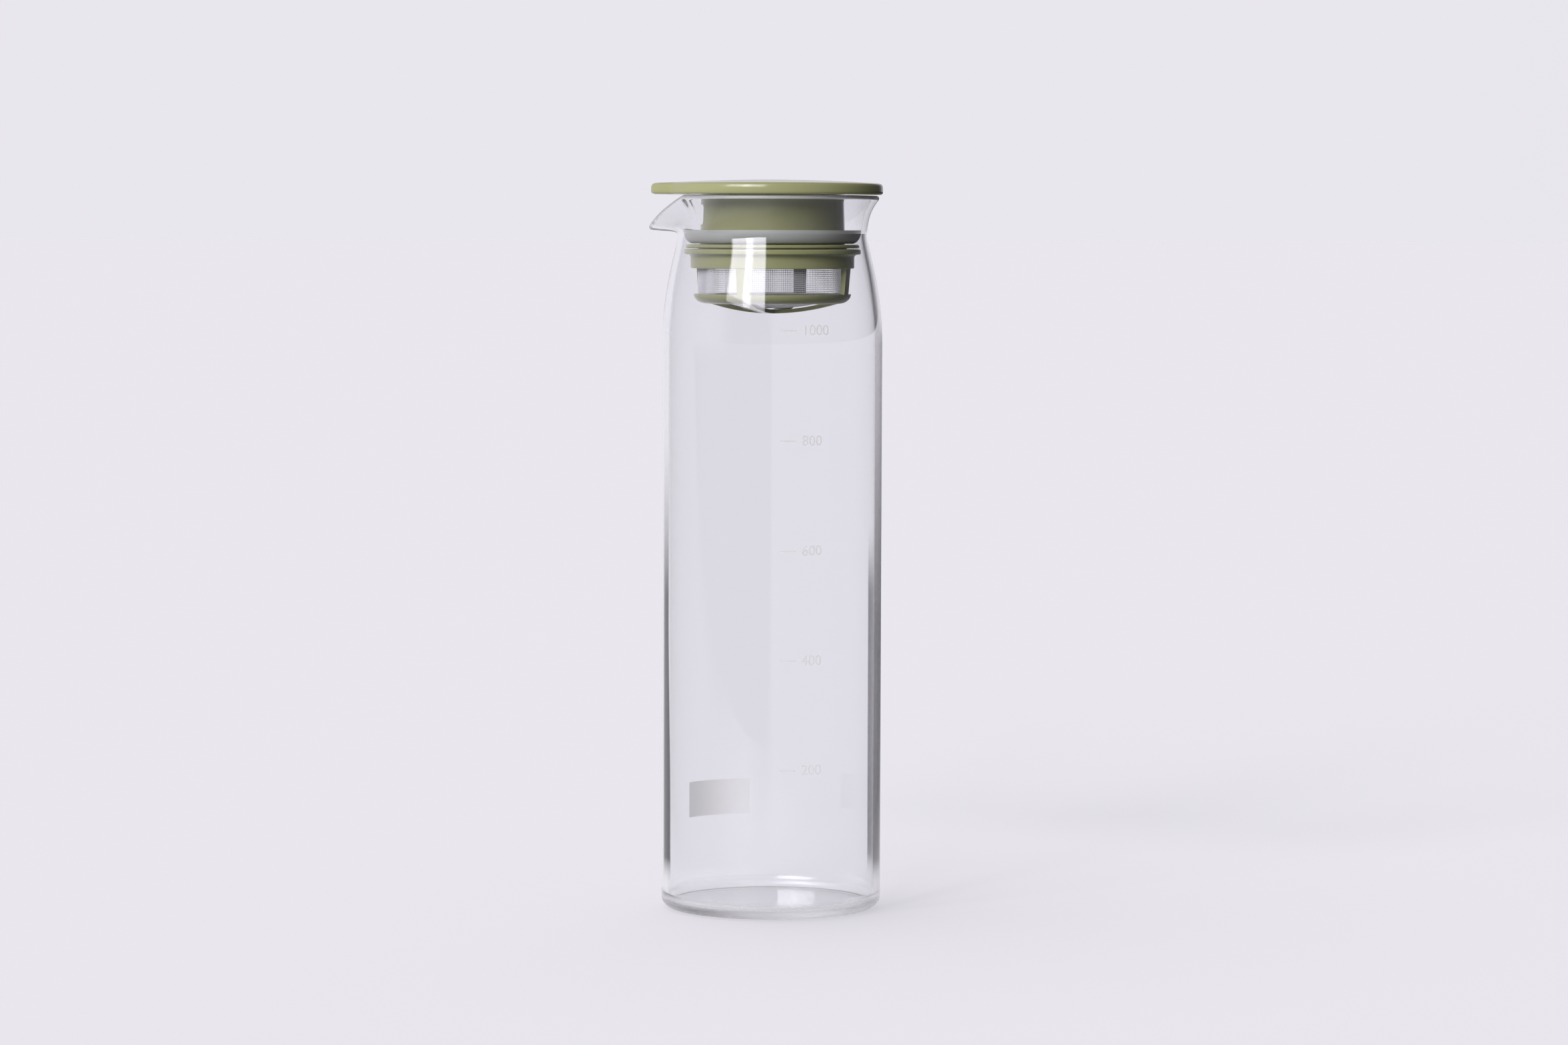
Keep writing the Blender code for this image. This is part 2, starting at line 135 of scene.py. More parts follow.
FLANGE_Z = SEAT_Z - FLANGE_THICKNESS
FLANGE_RADIUS = NECK_BORE - 0.0009
SLEEVE_RADIUS = FLANGE_RADIUS - 0.0054
SLEEVE_DRAFT = 0.0004
SLEEVE_BORE = SLEEVE_RADIUS - SLEEVE_DRAFT - 0.0018
SLEEVE_FILLET = 0.0018
SPIGOT_RADIUS = FLANGE_RADIUS - 0.0047
SPIGOT_CHAMFER = 0.0005
POUR_WIDTH = 0.0165
POUR_SILL = SEAL_HIGH.z + 0.0020
POUR_LINTEL = LID_Z - 0.0030
POUR_CORNER = 0.0020

# Seal
SEAL_BORE = SLEEVE_RADIUS + FIT
SEAL_FOOT = SEAL_BORE + 0.0022
SEAL_COLLAR_Z = SEAL_LOW.z + 0.0026
SEAL_LIP = 0.0007

# Strainer
BASKET_RADIUS = BASKET_HIGH.x
BASKET_TOP_Z = BASKET_HIGH.z
BASKET_BORE = SPIGOT_RADIUS + FIT
FLANGE_RING_HEIGHT = 0.0020
FLANGE_ROUND = 0.0006
COLLAR_RADIUS = BASKET_BORE + 0.00245
COLLAR_FILLET = 0.0014
COLLAR_LIP = 0.0004
WINDOW_LOW = BAND_LOW.z + 0.0009
WINDOW_HIGH = BAND_HIGH.z - 0.0009
RING_RADIUS = BASKET_BORE + 0.0013
RING_WIDTH = 0.0045
RING_HEIGHT = 0.0035
RING_BORE = RING_RADIUS - RING_WIDTH
LEDGE_Z = WINDOW_LOW - 0.0019
PILLAR_COUNT = 4
PILLAR_WIDTH = 0.0045
PILLAR_TURN = math.radians(-21.5)
RIB_END = RING_BORE + 0.0006
RIB_WIDTH = 0.0030
RIB_HEIGHT = 0.0014
RIB_SAG = 0.0037

# Colours of the moulded pieces, the threads and the ink, as the darker and the paler shade
PLASTIC = ((0.288, 0.298, 0.140), (0.308, 0.318, 0.152))
PLASTIC_ROUGHNESS = (0.13, 0.17)
PLASTIC_IOR = 1.49
SILICONE = ((0.52, 0.54, 0.50), (0.60, 0.62, 0.58))
SILICONE_ROUGHNESS = (0.42, 0.55)
SILICONE_IOR = 1.41
SILICONE_CLEARNESS = 0.35
THREAD = ((0.90, 0.90, 0.92), (0.96, 0.96, 0.97))
THREAD_ROUGHNESS = (0.35, 0.50)
THREAD_BACKLIT = (0.95, 0.95, 0.97)
THREAD_TRANSLUCENCY = 0.40
INK = ((0.58, 0.58, 0.46), (0.61, 0.61, 0.49))
INK_ROUGHNESS = 0.5
NOISE_MIDDLE = (0.3, 0.7)
NOISE_DETAIL = 3.0
BUMP_DEPTH = 0.0001

# Woven mesh
MESH_PITCH = 0.0007
WIRE_RADIUS = 0.000065
BAND_RADIUS = BAND_HIGH.x - 0.00042
LAP_RADIUS = BAND_RADIUS + 0.0004
LAP_FIRST = math.radians(-10)
LAP_LAST = math.radians(42)
STEPS_PER_PITCH = 2

# Printed scale
MARK_VALUES = (200, 400, 600, 800, 1000)
MARK_TOP = 0.2150
MARK_STEP = 0.0400
MARK_LOWEST = MARK_TOP - MARK_STEP * (len(MARK_VALUES) - 1)
MARK_TURN = math.radians(15.6245)
DIGIT_HEIGHT = 0.0037
DIGIT_SHARE = 0.7           # height of a digit in the font's size
TICK_LENGTH = 0.0060
TICK_WIDTH = 0.0005
TICK_GAP = 0.0020
PRINT_THICKNESS = 0.00005
PATCH_LEFT = -0.0326
PATCH_RIGHT = -0.0085
PATCH_LOW = 0.0302
PATCH_HIGH = 0.0435
PATCH_FADE = (-0.008, -0.036)
SCALE_ALPHA = (0.12, 0.22)
PATCH_ALPHA = (0.06, 0.28)

# Fineness of the meshes
TURN_COLUMNS = 192
SPOUT_COLUMNS = 36
CURVE_STEPS = 20
CORNER_STEPS = 8
SMOOTH_ANGLE = math.radians(32)
ROUND_BEVEL = 0.5
WELD = 0.00001

# Light: corners of the cards in X and Y, and ramps as two values and what they give
PALE = (0.735, 0.727, 0.744)
FLOOR_RADIUS = 200.0
FLOOR_SEGMENTS = 96
FLOOR_ROUGHNESS = 0.9
FLOOR_GLOW = 0.34
FLOOR_DROP = 0.0003
# Painted shade: the colour the floor shows where pieces inside the glass mirror it, on the side away
# from the light
FLOOR_MIRRORED_SHADE = (0.12, 0.12, 0.125)
FLOOR_FAR_SIDE = (-0.10, 0.20, 0.0, 1.0)
MIRRORED_DEPTH = 0.5
INSIDE_DEPTH = 3.5
TABLE_GLOW = 0.95
TABLE_LOW = (-60.0, -0.42)
TABLE_HIGH = (0.20, 60.0)
TABLE_FADE = 0.24
FILL_GLOW = 1.90
FILL_LOW = (-0.80, -1.20)
FILL_HIGH = (0.15, -0.31)
FILL_FADE = 0.10
CARD_DROP = 0.002
ROOM_COLOR = (1.0, 0.975, 1.050)
ROOM_AHEAD = 0.6
ROOM_ACROSS = 0.8
ROOM_SEEN = (-0.30, 0.50, 0.10, 0.815)
ROOM_MIRRORED = (0.05, 0.48, 0.10, 0.815)
ROOM_UPWARD = (0.05, 1.0, 1.0, 0.6)
ROOM_DOWNWARD = (-0.02, -0.002, 0.15, 1.0)
BOX_SLANT = 0.06
BOX_LOW = (0.158, 0.178, 0.0, 1.0)
BOX_HIGH = (0.64, 0.70, 1.0, 0.0)
BOX_SIDES = (-50, -9, 2)    # first and last azimuth and the blur, in degrees
BOX_GLOW = 8.0
CORE_SIDES = (-30, -26, 4)
CORE_GLOW = 8.0
LIGHT_BOUNCES = 24
CLEAR_BOUNCES = 32

# Camera, from the photograph
PHOTO_WIDTH = 2353
FOCAL_PIXELS = 7300
SENSOR_WIDTH = 36.0
CAMERA_PLACE = (0.00458, -1.8013, 0.250)
CAMERA_PITCH = math.radians(3.395)
CAMERA_ROLL = math.radians(0.171)


def bezier(start, lead, follow, end, steps=CURVE_STEPS):
    """Points of a cubic curve, both ends included."""
    points = []
    for step in range(steps + 1):
        t = step / steps
        weights = ((1 - t) ** 3, 3 * t * (1 - t) ** 2, 3 * t * t * (1 - t), t ** 3)
        controls = (start, lead, follow, end)
        points.append(tuple(sum(w * p[axis] for w, p in zip(weights, controls)) for axis in (0, 1)))
    return points


def arc(center, radii, first, last, steps=CORNER_STEPS):
    """Points of an elliptical arc between two angles in degrees, both ends included."""
    points = []
    for step in range(steps + 1):
        angle = math.radians(first + (last - first) * step / steps)
        points.append((center[0] + radii[0] * math.cos(angle), center[1] + radii[1] * math.sin(angle)))
    return points


def mix(first, second, share):
    return tuple(a + (b - a) * share for a, b in zip(first, second))


def turn_angles(columns=TURN_COLUMNS):
    return [2 * math.pi * column / columns for column in range(columns)]


def spout_angles():
    """Angles from the spout's direction, closer together across the spout."""
    zone = SPOUT_HALF_ANGLE * (SPOUT_COLUMNS + 1) / SPOUT_COLUMNS
    fine = [zone * step / SPOUT_COLUMNS for step in range(-SPOUT_COLUMNS, SPOUT_COLUMNS)]
    rest = 2 * math.pi - 2 * zone
    return fine + [zone + rest * step / TURN_COLUMNS for step in range(TURN_COLUMNS)]


def link(name, mesh, material):
    """A smooth-shaded object with its own material."""
    mesh.shade_smooth()
    mesh.set_sharp_from_angle(angle=SMOOTH_ANGLE)
    mesh.materials.clear()
    mesh.materials.append(material)
    item = bpy.data.objects.new(name, mesh)
    bpy.context.scene.collection.objects.link(item)
    return item


def to_mesh(name, bm):
    bmesh.ops.recalc_face_normals(bm, faces=bm.faces)
    mesh = bpy.data.meshes.new(name)
    bm.to_mesh(mesh)
    bm.free()
    return mesh


def turned(name, section_at, angles, closed):
    """A body round the axis. A closed section is a loop, and an open one starts and ends on the axis."""
    bm = bmesh.new()
    columns = []
    poles = None
    for angle in angles:
        section = section_at(angle)
        if not closed:
            poles = poles or [bm.verts.new((0.0, 0.0, section[index][1])) for index in (0, -1)]
            section = section[1:-1]
        ring = [bm.verts.new((-r * math.cos(angle), -r * math.sin(angle), z)) for r, z in section]
        columns.append(ring + ring[:1] if closed else [poles[0], *ring, poles[1]])
    for column, following in zip(columns, columns[1:] + columns[:1]):
        for low in range(len(column) - 1):
            corners = (column[low], following[low], following[low + 1], column[low + 1])
            bm.faces.new(list(dict.fromkeys(corners)))
    return to_mesh(name, bm)


def combine(target, tools, operation):
    """Cuts the tools out of an object, or joins them to it, for good."""
    for tool in tools:
        modifier = target.modifiers.new(tool.name, "BOOLEAN")
        modifier.operation = operation
        modifier.object = tool
        modifier.solver = "EXACT"
    seen = target.evaluated_get(bpy.context.evaluated_depsgraph_get())
    mesh = bpy.data.meshes.new_from_object(seen)
    bm = bmesh.new()
    bm.from_mesh(mesh)
    bmesh.ops.dissolve_degenerate(bm, dist=WELD, edges=bm.edges)
    bm.to_mesh(mesh)
    bm.free()
    target.modifiers.clear()
    target.data = mesh
    mesh.shade_smooth()
    mesh.set_sharp_from_angle(angle=SMOOTH_ANGLE)
    for tool in tools:
        bpy.data.objects.remove(tool, do_unlink=True)


def place(item, body, slot, *nodes):
    """Rides on its body and stands for the nodes, which it hides. The slot is not used."""
    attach(item, body)
    if nodes:
        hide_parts(*nodes)


# Materials

def new_material(name):
    material = bpy.data.materials.new(name)
    material.use_nodes = True
    tree = material.node_tree
    return material, tree, tree.nodes["Principled BSDF"]


def noise(tree, scale):
    """Noise in the object's own coordinates."""
    coordinates = tree.nodes.new("ShaderNodeTexCoord")
    texture = tree.nodes.new("ShaderNodeTexNoise")
    texture.inputs["Scale"].default_value = scale
    texture.inputs["Detail"].default_value = NOISE_DETAIL
    tree.links.new(coordinates.outputs["Object"], texture.inputs["Vector"])
    return texture.outputs["Fac"]


def split_axes(tree, space):
    """X, Y and Z in one of the spaces of the Texture Coordinate node."""
    coordinates = tree.nodes.new("ShaderNodeTexCoord")
    split = tree.nodes.new("ShaderNodeSeparateXYZ")
    tree.links.new(coordinates.outputs[space], split.inputs["Vector"])
    return [split.outputs[axis] for axis in "XYZ"]


def attribute(tree, name):
    node = tree.nodes.new("ShaderNodeAttribute")
    node.attribute_name = name
    return node.outputs["Fac"]


def ranged(tree, value, low, high, to_low, to_high, smooth=False):
    node = tree.nodes.new("ShaderNodeMapRange")
    node.interpolation_type = "SMOOTHSTEP" if smooth else "LINEAR"
    node.inputs["From Min"].default_value = low
    node.inputs["From Max"].default_value = high
    node.inputs["To Min"].default_value = to_low
    node.inputs["To Max"].default_value = to_high
    tree.links.new(value, node.inputs["Value"])
    return node.outputs["Result"]


def feed(tree, value, socket):
    """Sets a plain number on the socket, or links another node's output to it."""
    if isinstance(value, (int, float)):
        socket.default_value = value
    else:
        tree.links.new(value, socket)


def math_node(tree, operation, first, second):
    node = tree.nodes.new("ShaderNodeMath")
    node.operation = operation
    feed(tree, first, node.inputs[0])
    feed(tree, second, node.inputs[1])
    return node.outputs["Value"]


def multiply(tree, *values):
    product = values[0]
    for value in values[1:]:
        product = math_node(tree, "MULTIPLY", product, value)
    return product


def blend_values(tree, share, first, second):
    node = tree.nodes.new("ShaderNodeMix")
    tree.links.new(share, node.inputs["Factor"])
    tree.links.new(first, node.inputs["A"])
    tree.links.new(second, node.inputs["B"])
    return node.outputs["Result"]


def blend_colors(tree, share, first, second):
    node = tree.nodes.new("ShaderNodeMix")
    node.data_type = "RGBA"
    node.inputs["A"].default_value = (*first, 1.0)
    node.inputs["B"].default_value = (*second, 1.0)
    tree.links.new(share, node.inputs["Factor"])
    return node.outputs["Result"]


def show_mix(tree, share, first, second):
    """Sends a mix of two shaders to the material's surface."""
    node = tree.nodes.new("ShaderNodeMixShader")
    feed(tree, share, node.inputs[0])
    tree.links.new(first.outputs["BSDF"], node.inputs[1])
    tree.links.new(second.outputs["BSDF"], node.inputs[2])
    tree.links.new(node.outputs["Shader"], tree.nodes["Material Output"].inputs["Surface"])


def grain(tree, shader, shades, roughness, shade_scale, rough_scale):
    """Varies the colour between two shades and the roughness between two values."""
    color = blend_colors(tree, noise(tree, shade_scale), *shades)
    tree.links.new(color, shader.inputs["Base Color"])
    rough = ranged(tree, noise(tree, rough_scale), *NOISE_MIDDLE, *roughness)
    tree.links.new(rough, shader.inputs["Roughness"])


def bump(tree, shader, scale, strength):
    node = tree.nodes.new("ShaderNodeBump")
    node.inputs["Strength"].default_value = strength
    node.inputs["Distance"].default_value = BUMP_DEPTH
    tree.links.new(noise(tree, scale), node.inputs["Height"])
    tree.links.new(node.outputs["Normal"], shader.inputs["Normal"])


def mark_soft_edges(mesh):
    """Stores how matt the glass is, and gives the lip and the base's corner the second material.

    Vertices 0 and 1 are on the axis, under the base and on the floor inside.
    """
    matt = mesh.attributes.new("matt", "FLOAT", "POINT")
    column = len(carafe_section(0.0)) - 2
    base = CORNER_STEPS + 1
    lip = base + CURVE_STEPS + 1 + CURVE_STEPS
    floor = column - CORNER_STEPS
    matt.data[1].value = FLOOR_MATT
    for index in range(2, len(mesh.vertices)):
        row = (index - 2) % column
        if 0 < row < base - 1:
            matt.data[index].value = BASE_MATT
        elif row >= floor:
            matt.data[index].value = FLOOR_MATT
        elif lip <= row < lip + 2 * CORNER_STEPS - 1:
            matt.data[index].value = LIP_MATT
    for face in mesh.polygons:
        face.material_index = int(all(matt.data[index].value >= BASE_MATT for index in face.vertices))


def mark_outer_wall(mesh):
    """Stores 1 on the outer wall and 0 on the inner wall, for the glass's painted edge shade to read."""
    wall = mesh.attributes.new("outer_wall", "FLOAT", "POINT")
    for vertex, item in zip(mesh.vertices, wall.data):
        item.value = float(vertex.normal.x * vertex.co.x + vertex.normal.y * vertex.co.y > 0.0)


def edge_shade(tree):
    """How much painted shade the glass gets where it is seen edge on: darker low down and away from the
    light.
    """
    facing = tree.nodes.new("ShaderNodeLayerWeight").outputs["Facing"]
    x, _, z = split_axes(tree, "Object")
    lit = ranged(tree, x, *LIT_SIDE)
    widening = multiply(tree, lit, ranged(tree, z, *LIT_WIDENING, True))
    start = ranged(tree, math_node(tree, "ADD", facing, widening), *EDGE_START, True)
    rim = math_node(tree, "ADD", facing, multiply(tree, lit, LIT_RIM_SHIFT))
    end = ranged(tree, rim, *EDGE_END, True)
    far_outer = ranged(tree, z, *FAR_OUTER_EDGE, True)
    lit_outer = ranged(tree, z, *LIT_OUTER_EDGE, True)
    outer = blend_values(tree, lit, far_outer, lit_outer)
    inner = multiply(tree, ranged(tree, z, *FAR_INNER_EDGE, True), ranged(tree, x, *FAR_SIDE))
    share = blend_values(tree, attribute(tree, "outer_wall"), inner, outer)
    foot = ranged(tree, z, *EDGE_FOOT, True)
    top = ranged(tree, z, *EDGE_TOP, True)
    return multiply(tree, share, start, end, foot, top)


def make_glass(name, clearness):
    """Glass that rays from the light pass straight, so that what stands inside is lit."""
    material, tree, shader = new_material(name)
    shader.inputs["IOR"].default_value = GLASS_IOR
    shader.inputs["Transmission Weight"].default_value = clearness
    rough = ranged(tree, attribute(tree, "matt"), 0.0, 1.0, 0.0, MATT_ROUGHNESS)
    tree.links.new(rough, shader.inputs["Roughness"])
    share = edge_shade(tree)
    # Painted shade: the glass's base colour darkens towards its edges where they are seen edge on
    tree.links.new(blend_colors(tree, share, GLASS_CLEAR, GLASS_PAINTED_SHADE), shader.inputs["Base Color"])
    shade = tree.nodes.new("ShaderNodeBsdfTransparent")
    tree.links.new(blend_colors(tree, share, SHADOW_CLEAR, SHADOW_DARK), shade.inputs["Color"])
    path = tree.nodes.new("ShaderNodeLightPath")
    show_mix(tree, path.outputs["Is Shadow Ray"], shader, shade)
    return material


def make_plastic():
    """Olive green polypropylene with a satin gloss."""
    material, tree, shader = new_material("sage_plastic")
    grain(tree, shader, PLASTIC, PLASTIC_ROUGHNESS, shade_scale=18.0, rough_scale=90.0)
    shader.inputs["IOR"].default_value = PLASTIC_IOR
    bump(tree, shader, scale=600.0, strength=0.01)
    return material


def make_silicone():
    """Grey silicone rubber that lets some light through."""
    material, tree, shader = new_material("grey_silicone")
    grain(tree, shader, SILICONE, SILICONE_ROUGHNESS, shade_scale=60.0, rough_scale=300.0)
    shader.inputs["Transmission Weight"].default_value = SILICONE_CLEARNESS
    shader.inputs["IOR"].default_value = SILICONE_IOR
    bump(tree, shader, scale=900.0, strength=0.05)
    return material


def make_net():
    """Pale polyester thread that glows a little when it is lit from behind."""
    material, tree, shader = new_material("woven_mesh")
    grain(tree, shader, THREAD, THREAD_ROUGHNESS, shade_scale=400.0, rough_scale=900.0)
    through = tree.nodes.new("ShaderNodeBsdfTranslucent")
    through.inputs["Color"].default_value = (*THREAD_BACKLIT, 1.0)
    show_mix(tree, THREAD_TRANSLUCENCY, shader, through)
    return material


def make_print(name, axis, first, last, alphas):
    """Pale translucent ink that grows thicker along an axis, numbered 0 to 2."""
    material, tree, shader = new_material(name)
    color = blend_colors(tree, noise(tree, scale=500.0), *INK)
    tree.links.new(color, shader.inputs["Base Color"])
    alpha = ranged(tree, split_axes(tree, "Object")[axis], first, last, *alphas, True)
    tree.links.new(alpha, shader.inputs["Alpha"])
    shader.inputs["Roughness"].default_value = INK_ROUGHNESS
    return material


# Shapes

def spout_share(angle):
    """How far the rim is drawn out into the spout: 1 at its tip, 0 past its sides."""
    turn = abs(math.remainder(angle, 2 * math.pi)) / SPOUT_HALF_ANGLE
    if turn >= 1.0:
        return 0.0
    side = (math.hypot(turn, SPOUT_POINT) - SPOUT_POINT) / (math.hypot(1.0, SPOUT_POINT) - SPOUT_POINT)
    return (1.0 - side) ** SPOUT_EASE


def flare_midline(angle):
    """Middle of the glass wall from the waist to the rim, drawn out towards the spout."""
    half = NECK_WALL / 2
    waist = (NECK_RADIUS - half, WAIST_Z)
    rim = (RIM_RADIUS - half, RIM_HEIGHT - half)
    tip = (SPOUT_REACH - half, RIM_HEIGHT - SPOUT_DROP - half)
    rim_curve = ((waist[0], WAIST_Z + FLARE_SWEEP), (rim[0] - FLARE_LEAN, rim[1] - FLARE_RISE), rim)
    tip_curve = ((waist[0], WAIST_Z + SPOUT_BEND), (tip[0] - SPOUT_RUN, tip[1] - SPOUT_RISE), tip)
    lead, follow, end = (mix(a, b, spout_share(angle)) for a, b in zip(rim_curve, tip_curve))
    return bezier(waist, lead, follow, end)


def shoulder(body, neck):
    lead = (body, SHOULDER_Z + SHOULDER_SWELL)
    follow = (neck, WAIST_Z - WAIST_SWEEP)
    return bezier((body, SHOULDER_Z), lead, follow, (neck, WAIST_Z))


def carafe_section(angle):
    """Outer wall from the base centre to the rim, and the inner wall back down to the floor."""
    half = NECK_WALL / 2
    line = flare_midline(angle)
    outer, inner = [], []
    heading = math.pi / 2
    for index in range(1, len(line)):
        before, after = line[index - 1], line[min(index + 1, len(line) - 1)]
        heading = math.atan2(after[1] - before[1], after[0] - before[0])
        across = (math.sin(heading) * half, -math.cos(heading) * half)
        outer.append((line[index][0] + across[0], line[index][1] + across[1]))
        inner.append((line[index][0] - across[0], line[index][1] - across[1]))
    lip = math.degrees(heading)
    rounding = arc(line[-1], (half, half), lip - 90, lip + 90, 2 * CORNER_STEPS)[1:-1]
    base = (BODY_RADIUS - BASE_CORNER_RADIUS, BASE_CORNER_RADIUS)
    bore = BODY_RADIUS - BODY_WALL
    floor = (bore - FLOOR_CORNER_RADIUS, FLOOR_THICKNESS + FLOOR_CORNER_RADIUS)
    return [
        (0.0, 0.0),
        *arc(base, (BASE_CORNER_RADIUS, BASE_CORNER_RADIUS), -90, 0),
        *shoulder(BODY_RADIUS, NECK_RADIUS),
        *outer,
        *rounding,
        *reversed(inner),
        *reversed(shoulder(bore, NECK_BORE)),
        *arc(floor, (FLOOR_CORNER_RADIUS, FLOOR_CORNER_RADIUS), 0, -90),
        (0.0, FLOOR_THICKNESS),
    ]


def lid_reach(angle):
    """Radius of the lid's edge: a circle, with the square-ended tab over the spout."""
    turn = abs(math.remainder(angle, 2 * math.pi))
    share = min(max((turn - math.atan2(TAB_HALF_WIDTH, TAB_REACH)) / TAB_BLEND, 0.0), 1.0)
    if share >= 1.0:
        return LID_RADIUS
    keep = 1.0 - share * share * (3.0 - 2.0 * share)
    return LID_RADIUS + (TAB_REACH / math.cos(turn) - LID_RADIUS) * keep


def dome(radius):
    return LID_TOP_Z - LID_SAG * (radius / DOME_RADIUS) ** 2


def cap_section(angle):
    """Domed top and edge of the lid, then the hollow that takes the sleeve's plate."""
    stations = [DOME_RADIUS * step / CURVE_STEPS for step in range(CURVE_STEPS)]
    top = [(radius, dome(radius)) for radius in stations]
    brow = (LID_RADIUS - LID_CORNER, dome(LID_RADIUS - LID_CORNER))
    rounding = bezier((DOME_RADIUS, dome(DOME_RADIUS)), brow, (LID_RADIUS, LID_SIDE_Z + LID_SIDE_RISE),
                      (LID_RADIUS, LID_SIDE_Z))
    edge = arc((LID_RADIUS - LID_BOTTOM_ROUND, LID_Z + LID_BOTTOM_ROUND),
               (LID_BOTTOM_ROUND, LID_BOTTOM_ROUND), 0, -90)
    stretch = lid_reach(angle) - LID_RADIUS
    outer = []
    for radius, height in top + rounding + edge:
        share = max((radius - LID_RADIUS + TAB_ROOT) / TAB_ROOT, 0.0)
        outer.append((radius + stretch * share, height))
    ledge = CAP_BORE - LEDGE_WIDTH
    ledge_z = PLATE_TOP_Z + FIT
    return [
        *outer,
        (CAP_BORE, LID_Z),
        (CAP_BORE, ledge_z),
        (ledge, ledge_z),
        (ledge, dome(ledge) - LID_TOP_WALL),
        (ledge / 2, dome(ledge / 2) - LID_TOP_WALL),
        (0.0, LID_TOP_Z - LID_TOP_WALL),
    ]


def sleeve_section(_angle):
    """Plate, tube, seal flange and spigot, from the plate's centre round to the roof of the bore."""
    top = SLEEVE_RADIUS - SLEEVE_DRAFT
    fillet = arc((top + SLEEVE_FILLET, LID_Z - SLEEVE_FILLET), (SLEEVE_FILLET, SLEEVE_FILLET), 90, 180)
    half = FLANGE_THICKNESS / 2
    flange = arc((FLANGE_RADIUS - half, SEAT_Z - half), (half, half), 90, -90)
    return [
        (0.0, PLATE_TOP_Z),
        (PLATE_RADIUS, PLATE_TOP_Z),
        (PLATE_RADIUS, LID_Z),
        *fillet,
        (SLEEVE_RADIUS, SEAT_Z),
        *flange,
        (SPIGOT_RADIUS, FLANGE_Z),
        (SPIGOT_RADIUS, SPIGOT_Z + SPIGOT_CHAMFER),
        (SPIGOT_RADIUS - SPIGOT_CHAMFER, SPIGOT_Z),
        (SLEEVE_BORE, SPIGOT_Z),
        (SLEEVE_BORE, LID_Z),
        (0.0, LID_Z),
    ]


def block(name, size, center, turn=0.0, corner=0.0):
    """A box turned about the axis. A corner radius rounds the edges that run along X."""
    bm = bmesh.new()
    bmesh.ops.create_cube(bm, size=1.0)
    bmesh.ops.scale(bm, verts=bm.verts, vec=size)
    if corner:
        long_edges = [edge for edge in bm.edges
                      if abs(edge.verts[0].co.x - edge.verts[1].co.x) > size[0] / 2]
        bmesh.ops.bevel(bm, geom=long_edges, offset=corner, segments=CORNER_STEPS, affect="EDGES",
                        profile=ROUND_BEVEL)
    bmesh.ops.translate(bm, verts=bm.verts, vec=center)
    bmesh.ops.rotate(bm, verts=bm.verts, cent=(0, 0, 0), matrix=Matrix.Rotation(turn, 3, "Z"))
    return to_mesh(name, bm)


def seal_section(_angle):
    """Collar round the sleeve, and the cup-shaped lip that closes the neck."""
    center = (SEAL_FOOT, SEAL_HIGH.z)
    reach = SEAL_HIGH.x - SEAL_FOOT
    outer = arc(center, (reach, SEAL_HIGH.z - SEAL_LOW.z), -90, 0, CURVE_STEPS)
    inner = arc(center, (reach - SEAL_LIP, SEAL_HIGH.z - SEAL_COLLAR_Z), 0, -90, CURVE_STEPS)
    return [(SEAL_BORE, SEAL_LOW.z), *outer, *inner, (SEAL_BORE, SEAL_COLLAR_Z)]


def basket_section(_angle):
    """Flange ring, collar with its lip, tapering wall and bottom ring with its inner ledge."""
    ring_z = BASKET_TOP_Z - FLANGE_RING_HEIGHT
    corner = BASKET_RADIUS - FLANGE_ROUND
    rounds = (FLANGE_ROUND, FLANGE_ROUND)
    fillet = (COLLAR_FILLET, COLLAR_FILLET)
    upper = arc((corner, BASKET_TOP_Z - FLANGE_ROUND), rounds, 90, 0)
    lower = arc((corner, ring_z + FLANGE_ROUND), rounds, 0, -90)
    hollow = arc((COLLAR_RADIUS + COLLAR_FILLET, ring_z - COLLAR_FILLET), fillet, 90, 180)
    lip = arc((COLLAR_RADIUS - COLLAR_LIP, WINDOW_HIGH + COLLAR_LIP), (COLLAR_LIP, COLLAR_LIP), 0, -90)
    belly = arc((RING_BORE, WINDOW_LOW), (RING_WIDTH, RING_HEIGHT), 0, -90, CURVE_STEPS)
    return [
        (BASKET_BORE, BASKET_TOP_Z),
        *upper,
        *lower,
        *hollow,
        *lip,
        *belly,
        (RING_BORE, LEDGE_Z),
        (BASKET_BORE, LEDGE_Z),
    ]


def rib_top(radius):
    return LEDGE_Z - FIT / 2 - RIB_SAG * (1.0 - (radius / RIB_END) ** 2)


def cross_rib(number):
    """Domed bar across the bottom ring, under two opposite pillars."""
    bm = bmesh.new()
    stations = [RIB_END * (2 * step / CURVE_STEPS - 1) for step in range(CURVE_STEPS + 1)]
    outline = [(x, rib_top(x)) for x in stations]
    outline += [(x, rib_top(x) - RIB_HEIGHT) for x in reversed(stations)]
    face = bm.faces.new([bm.verts.new((x, -RIB_WIDTH / 2, z)) for x, z in outline])
    swept = bmesh.ops.extrude_face_region(bm, geom=[face])
    moved = [item for item in swept["geom"] if isinstance(item, bmesh.types.BMVert)]
    bmesh.ops.translate(bm, verts=moved, vec=(0.0, RIB_WIDTH, 0.0))
    turn = PILLAR_TURN + 2 * math.pi * number / PILLAR_COUNT
    bmesh.ops.rotate(bm, verts=bm.verts, cent=(0, 0, 0), matrix=Matrix.Rotation(turn, 3, "Z"))
    return to_mesh("rib", bm)


